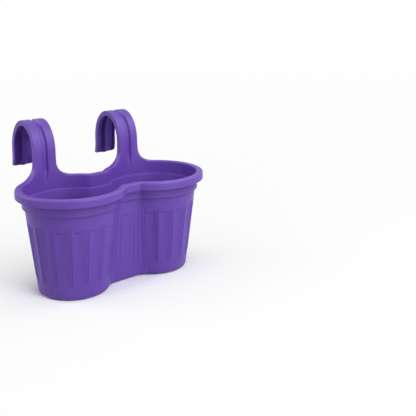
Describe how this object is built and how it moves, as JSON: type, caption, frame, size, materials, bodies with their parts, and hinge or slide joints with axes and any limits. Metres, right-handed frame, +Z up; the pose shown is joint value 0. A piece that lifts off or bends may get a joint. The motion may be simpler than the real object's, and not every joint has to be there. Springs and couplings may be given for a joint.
{
  "type": "balcony planter",
  "caption": "Double round balcony planter in purple plastic, pots joined at a waist, with fluted walls, a turned-down rim and rail hooks.",
  "frame": {"origin": "on the ground midway between the two pots, on the underside of the waist", "axes": "+X along the row of pots, +Y to the side of the rail and the hooks, +Z up"},
  "size_m": [0.4, 0.2984, 0.3125],
  "materials": {
    "moulded_body": "satin moulded purple polypropylene",
    "drain_plug": "matte moulded purple polyethylene"
  },
  "bodies": {
    "planter": {"planter_body": "moulded_body"},
    "left_plug": {"left_drain_plug": "drain_plug"},
    "right_plug": {"right_drain_plug": "drain_plug"}
  },
  "joints": [
    {"name": "left_plug_pull", "type": "slide", "parent": "planter", "child": "left_plug", "axis": [0, 0, 1], "range_m": [0, 0.02]},
    {"name": "right_plug_pull", "type": "slide", "parent": "planter", "child": "right_plug", "axis": [0, 0, 1], "range_m": [0, 0.02]}
  ]
}
